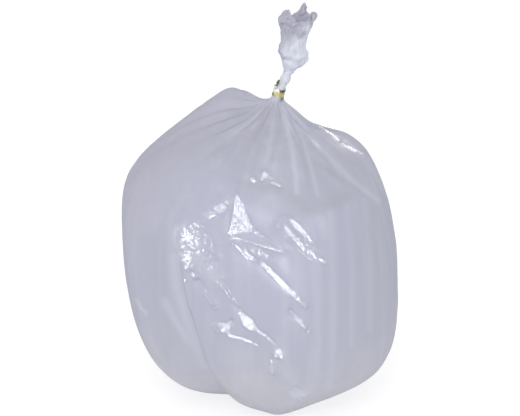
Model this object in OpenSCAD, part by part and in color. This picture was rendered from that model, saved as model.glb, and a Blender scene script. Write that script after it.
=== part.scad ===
// A bin liner filled with air, its mouth gathered into a neck and held shut by a wire twist tie.
// The bag stands on the flat patch that its film makes on the floor.
// Sizes are in millimetres. +Z is up, -Y is the front, and the origin is the middle of the foot.

/* [Filled bag] */
// Width of the filled bag, left to right
bag_w = 380; // [340:1:420]
// Depth of the filled bag, front to back
bag_d = 356; // [320:1:400]
// Height from the floor to the neck
bag_h = 413; // [380:1:450]
// Mean height of the widest part above the floor
belly_z = 200; // [180:1:225]
// How much higher the widest part is on the left than on the right
belly_tilt = 122; // [0:1:140]
// How far the foot stands to the right of the widest part
foot_right = 8; // [0:1:24]
// How far the foot stands in front of the widest part
foot_front = 6; // [0:1:30]
// How far the film would bulge below the floor if the floor did not flatten it
foot_sag = 15; // [8:1:24]
// How square the lower half is seen from the side, where 2 is a plain ellipse
base_square = 2.9; // [2.2:0.1:3.4]
// How square the upper half is seen from the side
dome_square = 2.15; // [2:0.05:2.8]

/* [Gathers and folds] */
// Number of small pleats at the neck
pleats = 20; // [16:1:24]
// Depth of the pleats on the shoulders
pleat_depth = 7; // [3:0.5:9]
// Mean distance from the neck over which the pleats fade
pleat_run = 70; // [40:1:90]
// Height of the raised shoulder behind the neck on the left
shoulder_rise = 40; // [0:1:50]
// Depth of the dent beside the neck on the right
dent_depth = 27; // [0:1:32]
// Depth of the valleys between the lobes round the foot
lobe_depth = 14; // [6:0.5:18]
// Height over which those valleys fade
lobe_rise = 85; // [50:1:120]
// How far the film between the lobes that touch the floor is lifted
lobe_lift = 27; // [0:1:32]
// Depth of the long soft waves in the sides
wave_depth = 2.5; // [0:0.5:5]

/* [Neck and open end] */
// Radius of the gathered neck inside the tie
neck_r = 7.1; // [5.5:0.1:8]
// Distance of the neck to the right of the widest part's middle
neck_right = 24; // [10:1:40]
// Distance of the neck in front of the widest part's middle
neck_front = 0; // [-20:1:30]
// Rise of the gathered film up to the neck
neck_rise = 26; // [15:1:40]
// Lean of the neck to the right, in degrees
neck_lean = 14; // [0:1:22]
// Length of the open end above the tie
tail_h = 93; // [80:1:115]
// Radius of the puff in the open end
puff_r = 20; // [16:0.5:24]
// Radius of the waist between the puff and the mouth
waist_r = 15; // [13:0.5:18]
// Radius of the mouth
mouth_r = 24; // [20:0.5:28]
// Thickness of the crumpled film at the mouth
mouth_wall = 1.8; // [1.4:0.1:2.4]

/* [Twist tie] */
// Width of the tie's ribbon
tie_w = 4.4; // [3:0.1:4.6]
// Thickness of the ribbon beside its wire
tie_t = 0.5; // [0.3:0.05:0.8]
// Radius of the covered wire along the ribbon's middle
tie_wire_r = 0.65; // [0.5:0.05:0.8]
// Turns of the ribbon round the neck
tie_turns = 3; // [2:1:4]
// Rise of each turn
tie_pitch = 5; // [4.8:0.1:6]
// Gap between the film and the tie
tie_gap = 0.2; // [0.1:0.05:0.5]
// Length of the end that runs up the neck
tie_end = 11; // [8:1:18]
// Length of the end that sticks out beside the band
tie_tip = 6; // [4:0.5:10]
// Quarter turns of twist in the upper end
tie_twist = 3; // [0:1:6]

/* [Hidden] */
// Four columns of points make one pleat
columns = pleats * 4;
// The neck stays round over the height that the tie takes up
band_h = tie_turns * tie_pitch + tie_w + 2;
neck_at = [neck_right - foot_right, foot_front - neck_front, bag_h];
// The random numbers are always the same ones
pleat_run_factor = rands(0.35, 1.6, 24, 11);
pleat_depth_factor = rands(0.45, 1.0, 24, 5);
tail_fold_factor = rands(0.2, 1.0, 24, 29);
// Each valley round the foot has its angle, its share of the depth, its half width and its share of the rise
valleys = [[241, 1.8, 8.5, 1.6], [302, 0.6, 12, 0.7], [345, 0.5, 16, 0.8], [28, 0.8, 14, 1.0],
    [80, 0.7, 16, 0.9], [128, 0.9, 13, 1.1], [170, 0.5, 15, 0.8], [208, 0.4, 12, 0.7]];
// Each lift between the lobes has its angle, its share of the height, its half width and where it starts
lifts = [[208, 1.1, 30, 0.62], [265, 0.25, 30, 0.6], [334, 1, 40, 0.4], [88, 0.35, 26, 0.6]];
body_rings = 34;

function mix(a, b, t) = a + (b - a) * t;
function clamp(x) = min(max(x, 0), 1);
function smooth(x) = let (t = clamp(x)) t * t * (3 - 2 * t);
function apart(a, b) = abs((((a - b) % 360) + 540) % 360 - 180);
function bump(a, middle, width) = exp(-pow(apart(a, middle) / width, 2));
function lean(p) = [p[0] * cos(neck_lean) + p[2] * sin(neck_lean), p[1], p[2] * cos(neck_lean) - p[0] * sin(neck_lean)];

// Columns are spaced unevenly so that no two pleats have the same width
function column_angle(j) = let (a = 360 * j / columns) a + 2.2 * sin(3 * a + 40) + 1.2 * sin(7 * a + 10);
// A pleat goes from ridge at 0 to valley at 1
function pleat_wave(j) = [0, 0.55, 1, 0.45][j % 4];

// Half width of the filled bag in a direction
function reach(a) = pow(pow(abs(cos(a)) / (bag_w / 2), 2.2) + pow(abs(sin(a)) / (bag_d / 2), 2.2), -1 / 2.2);

// Valleys fade upwards from the floor
function valley_depth(a, z, i = 0) = i == len(valleys) ? 0 :
    valleys[i][1] * bump(a, valleys[i][0], valleys[i][2]) * exp(-pow(max(z, 0) / (lobe_rise * valleys[i][3]), 2))
    + valley_depth(a, z, i + 1);

function lift(a, s) = lobe_lift * max([for (l = lifts) l[1] * bump(a, l[0], l[2]) * smooth((s - l[3]) / (1 - l[3]))]);

// Long waves run up the sides
function side_wave(a, z) = wave_depth * (sin(5 * a + 30 + z / 5) + 0.6 * sin(9 * a - 20 + z / 9) + 0.5 * sin(3 * z + 2 * a) * 0.4);

// One point of the filled bag, where lat is -90 at the floor, 0 at the widest part and 90 at the neck.
// The lifts fade again towards the middle of the foot, so that it stays on the floor.
function body_point(lat, j) = let (
        a = column_angle(j),
        upper = lat > 0,
        n = upper ? dome_square + 0.2 * bump(a, 0, 50) : base_square,
        c = pow(max(cos(lat), 0), 2 / n),
        s = pow(abs(sin(lat)), 2 / n),
        belly = belly_z - belly_tilt / 2 * cos(a),
        dome_top = bag_h - neck_rise,
        z_plain = upper ? belly + (dome_top - belly) * s : belly - (belly + foot_sag) * s + lift(a, s) * smooth(c / 0.4),
        inner = upper ? neck_r : 0,
        side = side_wave(a, z_plain) * c * (upper ? 1 : c),
        out = inner + (reach(a) - inner) * c + side - (upper ? 0 : lobe_depth * valley_depth(a, z_plain) * pow(c, 0.5)),
        from_neck = out - neck_r,
        cone = upper ? neck_rise * exp(-pow(from_neck / 34, 1.3)) : 0,
        k = floor(j / 4),
        run = pleat_run * pleat_run_factor[k],
        fold = upper ? pleat_depth * pleat_depth_factor[k] * pleat_wave(j)
            * clamp(from_neck / 30) * exp(-pow(from_neck / run, 2) / 2) : 0,
        tight = upper ? 0.9 * pleat_wave(j) * exp(-pow((from_neck - 9) / 8, 2)) : 0,
        shoulder = shoulder_rise * bump(a, 142, 34) * smooth(from_neck / 75) * smooth((reach(a) - out) / 125),
        dent = dent_depth * bump(a, 40, 46) * smooth((from_neck - 12) / 30) * exp(-pow(from_neck / 78, 2)),
        raised = upper ? shoulder - dent : 0,
        shift = upper ? smooth(pow(s, 2.5)) : 0,
        low = upper ? 0 : smooth(s),
        x0 = mix(mix(-foot_right, 0, low), neck_at[0], shift),
        y0 = mix(mix(foot_front, 0, low), neck_at[1], shift),
        tip = upper ? sin(neck_lean) * exp(-from_neck / 16) : 0
    ) [x0 + (out - tight) * cos(a), y0 + (out - tight) * sin(a),
        z_plain + cone + raised - fold - out * cos(a) * tip];

// Each ring of the neck and open end has its height above the tie as a share of tail_h,
// the shift of its middle to the right, its radius, and its share of the lobes and folds.
tail_rings = [
    [0.02, 2.4, neck_r * 0.86, 0.10], [0.07, 3.4, neck_r * 0.88, 0.2], [0.13, 2.8, neck_r * 0.84, 0.25],
    [0.165, 3.2, neck_r * 0.76, 0.3], [0.20, 5.0, neck_r * 0.55 + puff_r * 0.2, 0.4],
    [0.265, 7.0, puff_r * 0.5, 0.6], [0.35, 7.2, puff_r * 0.74, 0.8], [0.44, 5.2, puff_r * 0.93, 1],
    [0.52, 2.6, puff_r, 1], [0.60, 0.6, mix(puff_r, waist_r, 0.6), 1], [0.67, -0.4, waist_r, 0.9],
    [0.75, -0.8, mix(waist_r, mouth_r, 0.12), 1], [0.83, -0.4, mix(waist_r, mouth_r, 0.4), 1.1],
    [0.91, 0.6, mix(waist_r, mouth_r, 0.82), 1.2], [1.0, 0.8, mouth_r, 1.3]];
// The pocket inside the mouth follows the rings from the rim down to this one
pocket_ring = 10;

// The rim has a tall point behind, one at the left and a corner at the right
function rim_rise(a) = 0.12 * bump(a, 226, 20) + 0.12 * bump(a, 336, 24) + 0.18 * bump(a, 76, 17)
    - 0.05 * bump(a, 128, 22) - 0.03 * bump(a, 180, 16) - 0.02 * bump(a, 264, 12);

function tail_point(k, j, wall) = let (
        ring = tail_rings[k],
        a = column_angle(j),
        h = ring[0] * (1 + rim_rise(a) * smooth((ring[0] - 0.5) / 0.5)),
        lobes = 0.10 * sin(3 * a + 200 * ring[0]) + 0.07 * sin(5 * a + 80 - 160 * ring[0]),
        folds = 0.16 * tail_fold_factor[floor(j / 4)] * (0.4 - pleat_wave((j + 4 * floor(ring[0] * 2.4)) % 4)),
        r = ring[2] * (1 + ring[3] * (lobes + folds)) - wall,
        flat = mix(1, 0.8, smooth(ring[0] / 0.5))
    ) neck_at + lean([ring[1] + r * cos(a), flat * r * sin(a), band_h + h * tail_h]);

function neck_point(h, r, j) = neck_at + lean([r * cos(column_angle(j)), r * sin(column_angle(j)), h]);

// Latitudes are closer together near the floor and near the neck
function latitude(i) = let (t = i / body_rings) t < 0.4 ? mix(-84, 0, t / 0.4) : mix(0, 90, pow((t - 0.4) / 0.6, 0.62));

bag_rings = concat(
    [for (i = [0 : body_rings - 1]) [for (j = [0 : columns - 1]) body_point(latitude(i), j)]],
    [for (h = [0, band_h / 2, band_h]) [for (j = [0 : columns - 1]) neck_point(h, neck_r, j)]],
    [for (k = [0 : len(tail_rings) - 1]) [for (j = [0 : columns - 1]) tail_point(k, j, 0)]],
    [for (k = [len(tail_rings) - 1 : -1 : pocket_ring]) [for (j = [0 : columns - 1]) tail_point(k, j, mouth_wall)]]
);
bag_points = concat(
    [for (ring = bag_rings) for (p = ring) p],
    [[0, 0, -foot_sag - 1], neck_at + lean([tail_rings[pocket_ring][1], 0, band_h + (tail_rings[pocket_ring][0] - 0.05) * tail_h])]
);

// Triangles between the rings, with the shorter diagonal left to the columns' own order
function quad_faces(rings, n) = [for (i = [0 : rings - 2]) for (j = [0 : n - 1])
    let (a = i * n + j, b = i * n + (j + 1) % n, c = a + n, d = b + n)
    for (f = [0, 1]) f == 0 ? [a, c, d] : [a, d, b]];
function cap_faces(first, n, pole, up) = [for (j = [0 : n - 1])
    let (a = first + j, b = first + (j + 1) % n) up ? [a, pole, b] : [a, b, pole]];

module bag() {
    count = len(bag_rings);
    color([0.74, 0.75, 0.82])
    difference() {
        polyhedron(bag_points, concat(
            cap_faces(0, columns, count * columns, false),
            quad_faces(count, columns),
            cap_faces((count - 1) * columns, columns, count * columns + 1, true)), convexity = 10);
        translate([-bag_w, -bag_d, -200])
        cube([2 * bag_w, 2 * bag_d, 200]);
    }
}

// The middle of the ribbon, in the neck's own frame, for a length along the wrap in degrees
tie_r = neck_r + tie_gap + tie_wire_r;
tie_start = 318;
wrap_end = tie_start + 360 * tie_turns - 110;
tie_step = 15;
tip_steps = 4;
end_steps = 12;
// The twisted end stands off the neck by as much as the ribbon's edge turns inwards
end_off = tie_w / 2 - tie_wire_r;
function wrap_height(w) = 1.3 + tie_w / 2 + (w - tie_start) / 360 * tie_pitch;
// The tip leaves the band outwards, and the upper end turns up along the neck
tie_path = concat(
    [for (i = [tip_steps : -1 : 1]) let (t = i / tip_steps, w = tie_start - 26 * t)
        [(tie_r + tie_tip * t * t) * cos(w), (tie_r + tie_tip * t * t) * sin(w), wrap_height(tie_start) - 0.6 * t]],
    [for (w = [tie_start : tie_step : wrap_end]) [tie_r * cos(w), tie_r * sin(w), wrap_height(w)]],
    [for (i = [1 : end_steps]) let (t = i / end_steps, w = wrap_end + 34 * (1 - pow(1 - t, 2)), r = tie_r + end_off * smooth(2 * t))
        [r * cos(w), r * sin(w), wrap_height(wrap_end) + 0.4 * t + tie_end * pow(t, 1.5)]]
);
tie_section = let (w = tie_w / 2, t = tie_t / 2, a = tie_wire_r * 1.1, b = tie_wire_r * 0.5)
    [[w, -t], [w, t], [a, t], [b, tie_wire_r], [-b, tie_wire_r], [-a, t], [-w, t], [-w, -t],
        [-a, -t], [-b, -tie_wire_r], [b, -tie_wire_r], [a, -t]];

function unit(v) = v / norm(v);
function tie_twist_at(i) = let (first = len(tie_path) - end_steps) i < first ? 0 :
    tie_twist * 90 * smooth((i - first) / (end_steps - 1));
function tie_ring(i) = let (
        last = len(tie_path) - 1,
        p = tie_path[i],
        along = unit(tie_path[min(i + 1, last)] - tie_path[max(i - 1, 0)]),
        radial = unit([p[0], p[1], 0]),
        out = unit(radial - along * (radial * along)),
        wide = cross(out, along),
        turn = tie_twist_at(i),
        u = wide * cos(turn) + out * sin(turn),
        v = out * cos(turn) - wide * sin(turn)
    ) [for (q = tie_section) neck_at + lean(p + u * q[0] + v * q[1])];

module twist_tie() {
    rings = [for (i = [0 : len(tie_path) - 1]) tie_ring(i)];
    n = len(tie_section);
    color([0.72, 0.62, 0.3])
    polyhedron(
        concat([for (ring = rings) for (p = ring) p],
            [neck_at + lean(tie_path[0]), neck_at + lean(tie_path[len(tie_path) - 1])]),
        concat(
            cap_faces(0, n, len(rings) * n, false),
            quad_faces(len(rings), n),
            cap_faces((len(rings) - 1) * n, n, len(rings) * n + 1, true)), convexity = 10);
}

bag();
twist_tie();
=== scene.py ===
"""A milky bin liner filled with air and tied shut: film, foil tie, floor, light and camera."""

import math

import bmesh
import bpy
import numpy as np
from mathutils import Matrix, Vector
from mathutils.bvhtree import BVHTree


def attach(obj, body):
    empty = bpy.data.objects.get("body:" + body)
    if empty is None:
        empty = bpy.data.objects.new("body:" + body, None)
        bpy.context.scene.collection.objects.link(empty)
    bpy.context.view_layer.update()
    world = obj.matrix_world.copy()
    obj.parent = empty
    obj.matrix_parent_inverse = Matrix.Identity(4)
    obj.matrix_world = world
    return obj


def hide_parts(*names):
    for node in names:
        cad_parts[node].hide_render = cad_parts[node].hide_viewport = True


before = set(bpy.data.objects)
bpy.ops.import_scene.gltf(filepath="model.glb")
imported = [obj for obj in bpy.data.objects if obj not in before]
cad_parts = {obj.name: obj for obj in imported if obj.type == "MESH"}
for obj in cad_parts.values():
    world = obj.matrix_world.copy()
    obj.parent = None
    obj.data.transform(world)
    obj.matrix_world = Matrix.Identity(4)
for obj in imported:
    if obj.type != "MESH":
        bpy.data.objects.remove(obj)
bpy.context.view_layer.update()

# The photograph's frame and camera

IMAGE_WIDTH, IMAGE_HEIGHT = 520, 416
CAMERA_ELEVATION = math.radians(18)
CAMERA_DISTANCE = 2.4
CAMERA_TARGET = np.array([0.0, 0.0, 0.21])
METRES_PER_PIXEL = 0.00136
TARGET_PIXEL = (265, 246)

FOCAL_PIXELS = CAMERA_DISTANCE / METRES_PER_PIXEL
BACKWARD = np.array([0.0, -math.cos(CAMERA_ELEVATION), math.sin(CAMERA_ELEVATION)])
CAMERA_AT = CAMERA_TARGET + CAMERA_DISTANCE * BACKWARD


def aim_camera():
    """Turns the camera so that the target falls on its pixel without any lens shift."""
    pitch = math.atan((TARGET_PIXEL[1] - IMAGE_HEIGHT / 2) / FOCAL_PIXELS)
    yaw = math.atan((TARGET_PIXEL[0] - IMAGE_WIDTH / 2) / FOCAL_PIXELS)
    elevation = CAMERA_ELEVATION - pitch
    return Matrix.Rotation(yaw, 3, "Z") @ Matrix.Rotation(math.pi / 2 - elevation, 3, "X")


CAMERA_TURN = aim_camera()
CAMERA_AXES = np.array(CAMERA_TURN)


def pixels(points):
    """Where points of the scene fall in the photograph's frame."""
    local = (points - CAMERA_AT) @ CAMERA_AXES
    depth = -local[:, 2]
    x = IMAGE_WIDTH / 2 + FOCAL_PIXELS * local[:, 0] / depth
    y = IMAGE_HEIGHT / 2 - FOCAL_PIXELS * local[:, 1] / depth
    return x, y


def pixel_ray(x, y):
    """The direction from the camera through a pixel."""
    local = np.array([(x - IMAGE_WIDTH / 2) / FOCAL_PIXELS, (IMAGE_HEIGHT / 2 - y) / FOCAL_PIXELS, -1.0])
    ray = CAMERA_AXES @ local
    return ray / np.linalg.norm(ray)


SENSOR_WIDTH = 36
CLIP_END = 20


def add_camera():
    data = bpy.data.cameras.new("camera")
    data.sensor_width = SENSOR_WIDTH
    data.lens = SENSOR_WIDTH * FOCAL_PIXELS / IMAGE_WIDTH
    data.clip_end = CLIP_END
    camera = bpy.data.objects.new("camera", data)
    camera.location = Vector(CAMERA_AT)
    camera.rotation_euler = CAMERA_TURN.to_euler()
    bpy.context.scene.collection.objects.link(camera)
    bpy.context.scene.camera = camera


add_camera()

# A grid over the photograph's pixels

STEP = 0.5
GRID_LEFT, GRID_RIGHT, GRID_TOP, GRID_BOTTOM = 112, 406, 84, 414
GRID_X = np.arange(GRID_LEFT, GRID_RIGHT + STEP / 2, STEP)
GRID_Y = np.arange(GRID_TOP, GRID_BOTTOM + STEP / 2, STEP)
grid_x, grid_y = np.meshgrid(GRID_X, GRID_Y)
RAY_STEP = 2


# Each flat facet that catches a lamp has its corners, by how many degrees it misses the lamp, and which lamp
HIGH, SIDE, RIGHT, LOW, LEFT = range(5)
FACETS = [
    ([(236.6, 193), (229, 235), (240, 233.5), (254, 229.6), (247, 215)], 0.8, HIGH),
    ([(232, 243), (240, 246.5), (249, 254), (258, 261), (250, 260), (241, 252)], 2.5, LOW),
    ([(247, 247.5), (262, 252), (272, 257), (262, 256), (252, 252)], 2.5, LOW),
    ([(259, 261), (264, 262.5), (273, 270.5), (284, 281.5), (297, 296), (310, 311), (295, 298.5),
      (281, 285.5), (269, 273.5)], 0.9, LOW),
    ([(283, 216.5), (291, 219), (304, 228), (312, 239.5), (306, 237), (294, 227.5)], 0.8, RIGHT),
    ([(279, 222), (283, 221.5), (289, 227), (297, 236), (303, 243), (310, 253), (303, 251), (295, 242.5),
      (286, 233.5), (281, 229)], 0.5, RIGHT),
    ([(236, 304), (240, 309), (245, 315), (252, 320), (260, 332), (251, 330.5), (243, 325), (240, 316)],
     0, LOW),
    ([(214, 326), (221, 322), (226, 324), (231.5, 321), (229.5, 327), (230, 334), (224, 331.5), (219, 332.5)],
     2, LOW),
    ([(250, 178), (254, 178), (256, 183), (252, 182)], 1, HIGH),
    ([(263, 172), (266.5, 172), (268, 177), (261, 181)], 1, HIGH),
    ([(184, 254), (187.5, 253), (187, 259), (184, 260)], 0, LEFT),
    ([(185.5, 262), (189, 261), (188, 269), (185.5, 269)], 0, LEFT),
    ([(181, 281), (184, 278), (187, 281), (184, 283)], 1, LEFT),
    ([(228, 201), (227, 209), (216, 215), (208, 219), (206, 217), (214, 208)], 4.5, LEFT),
]
# Each narrow ridge that catches a lamp has its points, its half width, its miss in degrees and its lamp
RIDGES = [
    ([(255, 230.5), (268, 240), (283, 251)], 0.7, 1.5, HIGH),
    ([(231, 236), (246, 241), (262, 246), (283, 252)], 0.8, 0.5, HIGH),
    ([(287, 239), (300, 251), (312, 261)], 1.1, 1, RIGHT),
    ([(310, 250), (316, 258)], 1.2, 1, RIGHT),
    ([(321, 259), (324, 263)], 1.2, 1, RIGHT),
    ([(296, 222), (301, 226)], 0.9, 1, RIGHT),
    ([(272, 182.5), (280, 185.5)], 1.2, 1, HIGH),
    ([(269, 177), (272, 179)], 1.2, 2, HIGH),
    ([(222, 283), (230, 295), (237, 306)], 1.9, 0, LOW),
    ([(258, 331), (267, 337), (275, 345)], 1.3, 1, LOW),
    ([(192, 273), (204, 291), (216, 307)], 1.2, 1.5, LEFT),
    ([(229, 335), (243, 339), (257, 345)], 1.2, 1, LOW),
    ([(277, 348), (275.5, 362)], 1.6, 0.5, LOW),
    ([(271, 357), (272.5, 372)], 1.3, 0.5, LOW),
    ([(280, 350), (282, 360)], 1.1, 1, LOW),
    ([(291, 312), (300, 322), (309, 331)], 1.0, 6, LOW),
    ([(291, 392), (296, 396)], 1.0, 0.5, LOW),
    ([(296, 389), (302, 394)], 1.0, 0.5, LOW),
    ([(299, 398), (305, 394)], 1.0, 0.5, LOW),
    ([(318, 128), (330, 133), (340, 139)], 0.8, 2.5, SIDE),
    ([(344, 143), (354, 149), (362, 155)], 0.7, 2, SIDE),
]
# Each crinkled area has its corners, the number of small facets, the typical way they point and a lamp
CRINKLES = [
    ([(180, 238), (186, 226), (196, 221), (206, 228), (214, 243), (217, 262), (222, 283), (208, 277),
      (192, 270), (184, 262)], 100, 45, LEFT),
    ([(280, 216), (292, 216), (304, 226), (314, 240), (319, 256), (310, 254), (296, 242), (282, 228)],
     16, 50, RIGHT),
]
# Each overlap has its line from the top down, how far the film sinks on its left, over how many pixels it
# comes back, and how far it swells on its right
OVERLAPS = [
    ([(181, 252), (182, 275), (186, 298), (193, 320), (199, 340), (206, 362), (216, 382), (222, 390)],
     0.0052, 20, 0.0016),
]


def smooth_step(x):
    t = np.clip(x, 0, 1)
    return t * t * (3 - 2 * t)


def unit(vectors):
    return vectors / np.maximum(np.linalg.norm(vectors, axis=-1, keepdims=True), 1e-12)


def inside(polygon):
    """How far inside a polygon each pixel of the grid is, negative outside."""
    corners = np.array(polygon, dtype=float)
    result = np.full(grid_x.shape, 1e9)
    winding = np.zeros(grid_x.shape)
    for a, b in zip(corners, np.roll(corners, -1, axis=0)):
        result = np.minimum(result, segment_distance(a, b))
        crosses = (grid_y >= min(a[1], b[1])) & (grid_y < max(a[1], b[1]))
        if a[1] != b[1]:
            at = a[0] + (grid_y - a[1]) / (b[1] - a[1]) * (b[0] - a[0])
            winding += crosses & (grid_x < at)
    return np.where(winding % 2 == 1, result, -result)


def segment_distance(a, b):
    a, b = np.array(a, dtype=float), np.array(b, dtype=float)
    along = b - a
    t = np.clip(((grid_x - a[0]) * along[0] + (grid_y - a[1]) * along[1]) / max(along @ along, 1e-9), 0, 1)
    return np.hypot(grid_x - a[0] - t * along[0], grid_y - a[1] - t * along[1])


def line_distance(points):
    return np.min([segment_distance(a, b) for a, b in zip(points, points[1:])], axis=0)


def beside(points):
    """How far left of a line each pixel is, negative on its right, and how far along it, from 0 to 1."""
    best = np.full(grid_x.shape, 1e9)
    side, along = np.zeros(grid_x.shape), np.zeros(grid_x.shape)
    count = len(points) - 1
    for index, (a, b) in enumerate(zip(points, points[1:])):
        distance = segment_distance(a, b)
        nearer = distance < best
        best = np.where(nearer, distance, best)
        step = np.subtract(b, a)
        cross = (grid_x - a[0]) * step[1] - (grid_y - a[1]) * step[0]
        t = np.clip(((grid_x - a[0]) * step[0] + (grid_y - a[1]) * step[1]) / (step @ step), 0, 1)
        side = np.where(nearer, -np.sign(cross) * distance, side)
        along = np.where(nearer, (index + t) / count, along)
    return side, along


def sample(field, x, y):
    """A field of the grid at any pixels, and zero outside the grid."""
    u = np.clip((x - GRID_LEFT) / STEP, 0, len(GRID_X) - 1.001)
    v = np.clip((y - GRID_TOP) / STEP, 0, len(GRID_Y) - 1.001)
    i, j = u.astype(int), v.astype(int)
    fu, fv = u - i, v - j
    return ((field[j, i] * (1 - fu) + field[j, i + 1] * fu) * (1 - fv)
            + (field[j + 1, i] * (1 - fu) + field[j + 1, i + 1] * fu) * fv)


# How many pixels past the marks the film still has small faces, and past which its gloss fades out
FINE_PAST_MARK = 2.4
FINE_PAST_CRINKLES = 1
FINE_BESIDE_OVERLAP = 3
GLOSS_FADE = 2.5


def fine_places():
    """Marks the pixels of the facets' edges, ridges, crinkles and overlaps, which need small faces."""
    near = np.zeros(grid_x.shape)
    for corners, *_ in FACETS:
        near = np.maximum(near, np.abs(inside(corners)) < FINE_PAST_MARK)
    for line, width, *_ in RIDGES:
        near = np.maximum(near, line_distance(line) < width + FINE_PAST_MARK)
    for corners, *_ in CRINKLES:
        near = np.maximum(near, inside(corners) > -FINE_PAST_CRINKLES)
    for line, *_ in OVERLAPS:
        near = np.maximum(near, line_distance(line) < FINE_BESIDE_OVERLAP)
    return near


fineness = fine_places()

# Soft bands where the film looks paler or greyer, each with its points, half width and strength
# Painted light and highlights along ridges, beside the crease and over glints, with a few streaks in the film
# itself
PALE_AND_HIGHLIGHT_BANDS = [
    ([(174, 258), (176, 288), (184, 316), (194, 343), (203, 370)], 5, 0.55),
    ([(164, 302), (175, 322), (187, 340), (200, 356)], 4, 0.5),
    ([(283, 104), (288, 130), (294, 160), (297, 192)], 3, 0.7),
    ([(287, 106), (305, 130), (330, 158), (352, 180), (378, 201)], 3, 0.6),
    ([(290, 112), (303, 140), (312, 170), (318, 195)], 2, 0.5),
    ([(296, 120), (320, 150), (345, 173)], 2, 0.4),
    ([(262, 103), (240, 98), (218, 103)], 4, 0.4),
    ([(316, 126), (345, 141), (368, 161), (386, 192)], 3.5, 0.5),
    ([(291, 395), (303, 394)], 3.5, 0.9),
    ([(331, 212), (334, 260), (334, 310), (330, 385)], 4, 0.35),
    ([(346, 205), (352, 270), (351, 345)], 3, 0.3),
    ([(364, 200), (370, 250), (369, 330)], 3.5, 0.25),
    ([(140, 200), (136, 232), (131, 262)], 1.6, 0.4),
    ([(136, 300), (140, 307), (146, 314)], 1.5, 0.9),
    ([(228, 201), (220, 209), (208, 217)], 4, 1.0),
    ([(190, 236), (196, 250), (204, 264), (214, 276)], 9, 0.5),
    ([(278, 345), (285, 362), (291, 382), (297, 396)], 6, 0.4),
    ([(252, 128), (259, 122)], 1.5, 0.5),
]
# Painted shade along the edges, the crease, valleys and pleats
SHADE_BANDS = [
    ([(168, 190), (158, 240), (160, 290), (172, 340)], 20, 0.3),
    ([(372, 210), (378, 270), (374, 330)], 14, 0.25),
    ([(150, 158), (132, 190), (121, 225), (121, 262), (127, 300), (134, 330), (146, 356)], 6, 0.45),
    ([(181, 262), (182, 276), (186, 298), (193, 320), (199, 340), (206, 362), (216, 382)], 1.1, 0.7),
    ([(243, 112), (220, 118), (200, 132), (182, 150)], 5, 0.5),
    ([(240, 182), (262, 186), (280, 190)], 5, 0.45),
    ([(292, 196), (310, 212), (330, 204), (350, 196)], 7, 0.5),
    ([(266, 108), (262, 122), (255, 140)], 4, 0.5),
    ([(276, 112), (277, 135), (272, 160)], 3, 0.5),
    ([(320, 165), (345, 182), (372, 200)], 3, 0.5),
    ([(300, 140), (306, 165), (308, 188)], 2, 0.4),
]


def glint_places():
    """Marks the film of the facets, ridges and crinkles, which is glossier and finely crumpled."""
    marked = np.zeros(grid_x.shape)
    for corners, *_ in FACETS + CRINKLES:
        marked = np.maximum(marked, smooth_step((inside(corners) + GLOSS_FADE) / GLOSS_FADE))
    for line, width, *_ in RIDGES:
        marked = np.maximum(marked, smooth_step((width + GLOSS_FADE - line_distance(line)) / GLOSS_FADE))
    return marked


def bands(lines):
    """Soft bands along lines, strongest in their middles."""
    total = np.zeros(grid_x.shape)
    for points, width, strength in lines:
        total = np.maximum(total, strength * np.exp(-(line_distance(points) / width) ** 2))
    return total


# The film's smooth shape

NECK_AT = np.array([0.016, 0.006, 0.413])
NECK_LEAN = math.radians(14)
NECK_AXIS = np.array([math.sin(NECK_LEAN), 0.0, math.cos(NECK_LEAN)])
BAND_HEIGHT = 0.0214
OPEN_END_REACH = 0.05
# In radians, wide enough to join all the triangles of the solid's grid into quads
ANY_ANGLE = 3.0


def along_neck(points):
    """Height along the neck's axis above its foot, and distance from the axis."""
    offset = points - NECK_AT
    height = offset @ NECK_AXIS
    return height, np.linalg.norm(offset - height[:, None] * NECK_AXIS, axis=1)


def link(name, mesh):
    piece = bpy.data.objects.new(name, mesh)
    bpy.context.scene.collection.objects.link(piece)
    return piece


def coarse_part(name, keep):
    """The kept faces of the bag's solid, merged into a grid and rounded by subdivision."""
    part = bmesh.new()
    part.from_mesh(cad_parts["bag"].data)
    bmesh.ops.remove_doubles(part, verts=part.verts, dist=1e-6)
    bmesh.ops.join_triangles(part, faces=part.faces, angle_face_threshold=ANY_ANGLE,
                             angle_shape_threshold=ANY_ANGLE)
    middles = np.array([f.calc_center_median() for f in part.faces])
    gone = [f for f, stays in zip(part.faces, keep(middles)) if not stays]
    bmesh.ops.delete(part, geom=gone, context="FACES")
    mesh = bpy.data.meshes.new(name + "_coarse")
    part.to_mesh(mesh)
    part.free()
    piece = link(name + "_coarse", mesh)
    rounding = piece.modifiers.new("rounding", "SUBSURF")
    rounding.levels = rounding.render_levels = 2
    graph = bpy.context.evaluated_depsgraph_get()
    result = bpy.data.meshes.new_from_object(piece.evaluated_get(graph))
    bpy.data.objects.remove(piece)
    return result


# An edge is halved only when its halves stay longer than this share of the wanted length
SPLIT_FROM = 1.42


def refine(mesh, longest, rounds):
    """Splits the edges that are longer than wanted where they are."""
    fine = bmesh.new()
    fine.from_mesh(mesh)
    for _ in range(rounds):
        edges = list(fine.edges)
        ends = np.array([[v.co[:] for v in e.verts] for e in edges])
        length = np.linalg.norm(ends[:, 0] - ends[:, 1], axis=1)
        chosen = [e for e, long in zip(edges, length > SPLIT_FROM * longest(ends.mean(axis=1))) if long]
        if not chosen:
            break
        bmesh.ops.subdivide_edges(fine, edges=chosen, cuts=1, use_grid_fill=True)
    fine.to_mesh(mesh)
    fine.free()


def positions(mesh):
    flat = np.empty(len(mesh.vertices) * 3, dtype=np.float32)
    mesh.vertices.foreach_get("co", flat)
    return flat.reshape(-1, 3).astype(float)


def set_positions(mesh, points):
    mesh.vertices.foreach_set("co", points.astype(np.float32).ravel())
    mesh.update()


def vertex_normals(mesh):
    flat = np.empty(len(mesh.vertices) * 3, dtype=np.float32)
    mesh.vertex_normals.foreach_get("vector", flat)
    return flat.reshape(-1, 3).astype(float)


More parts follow.
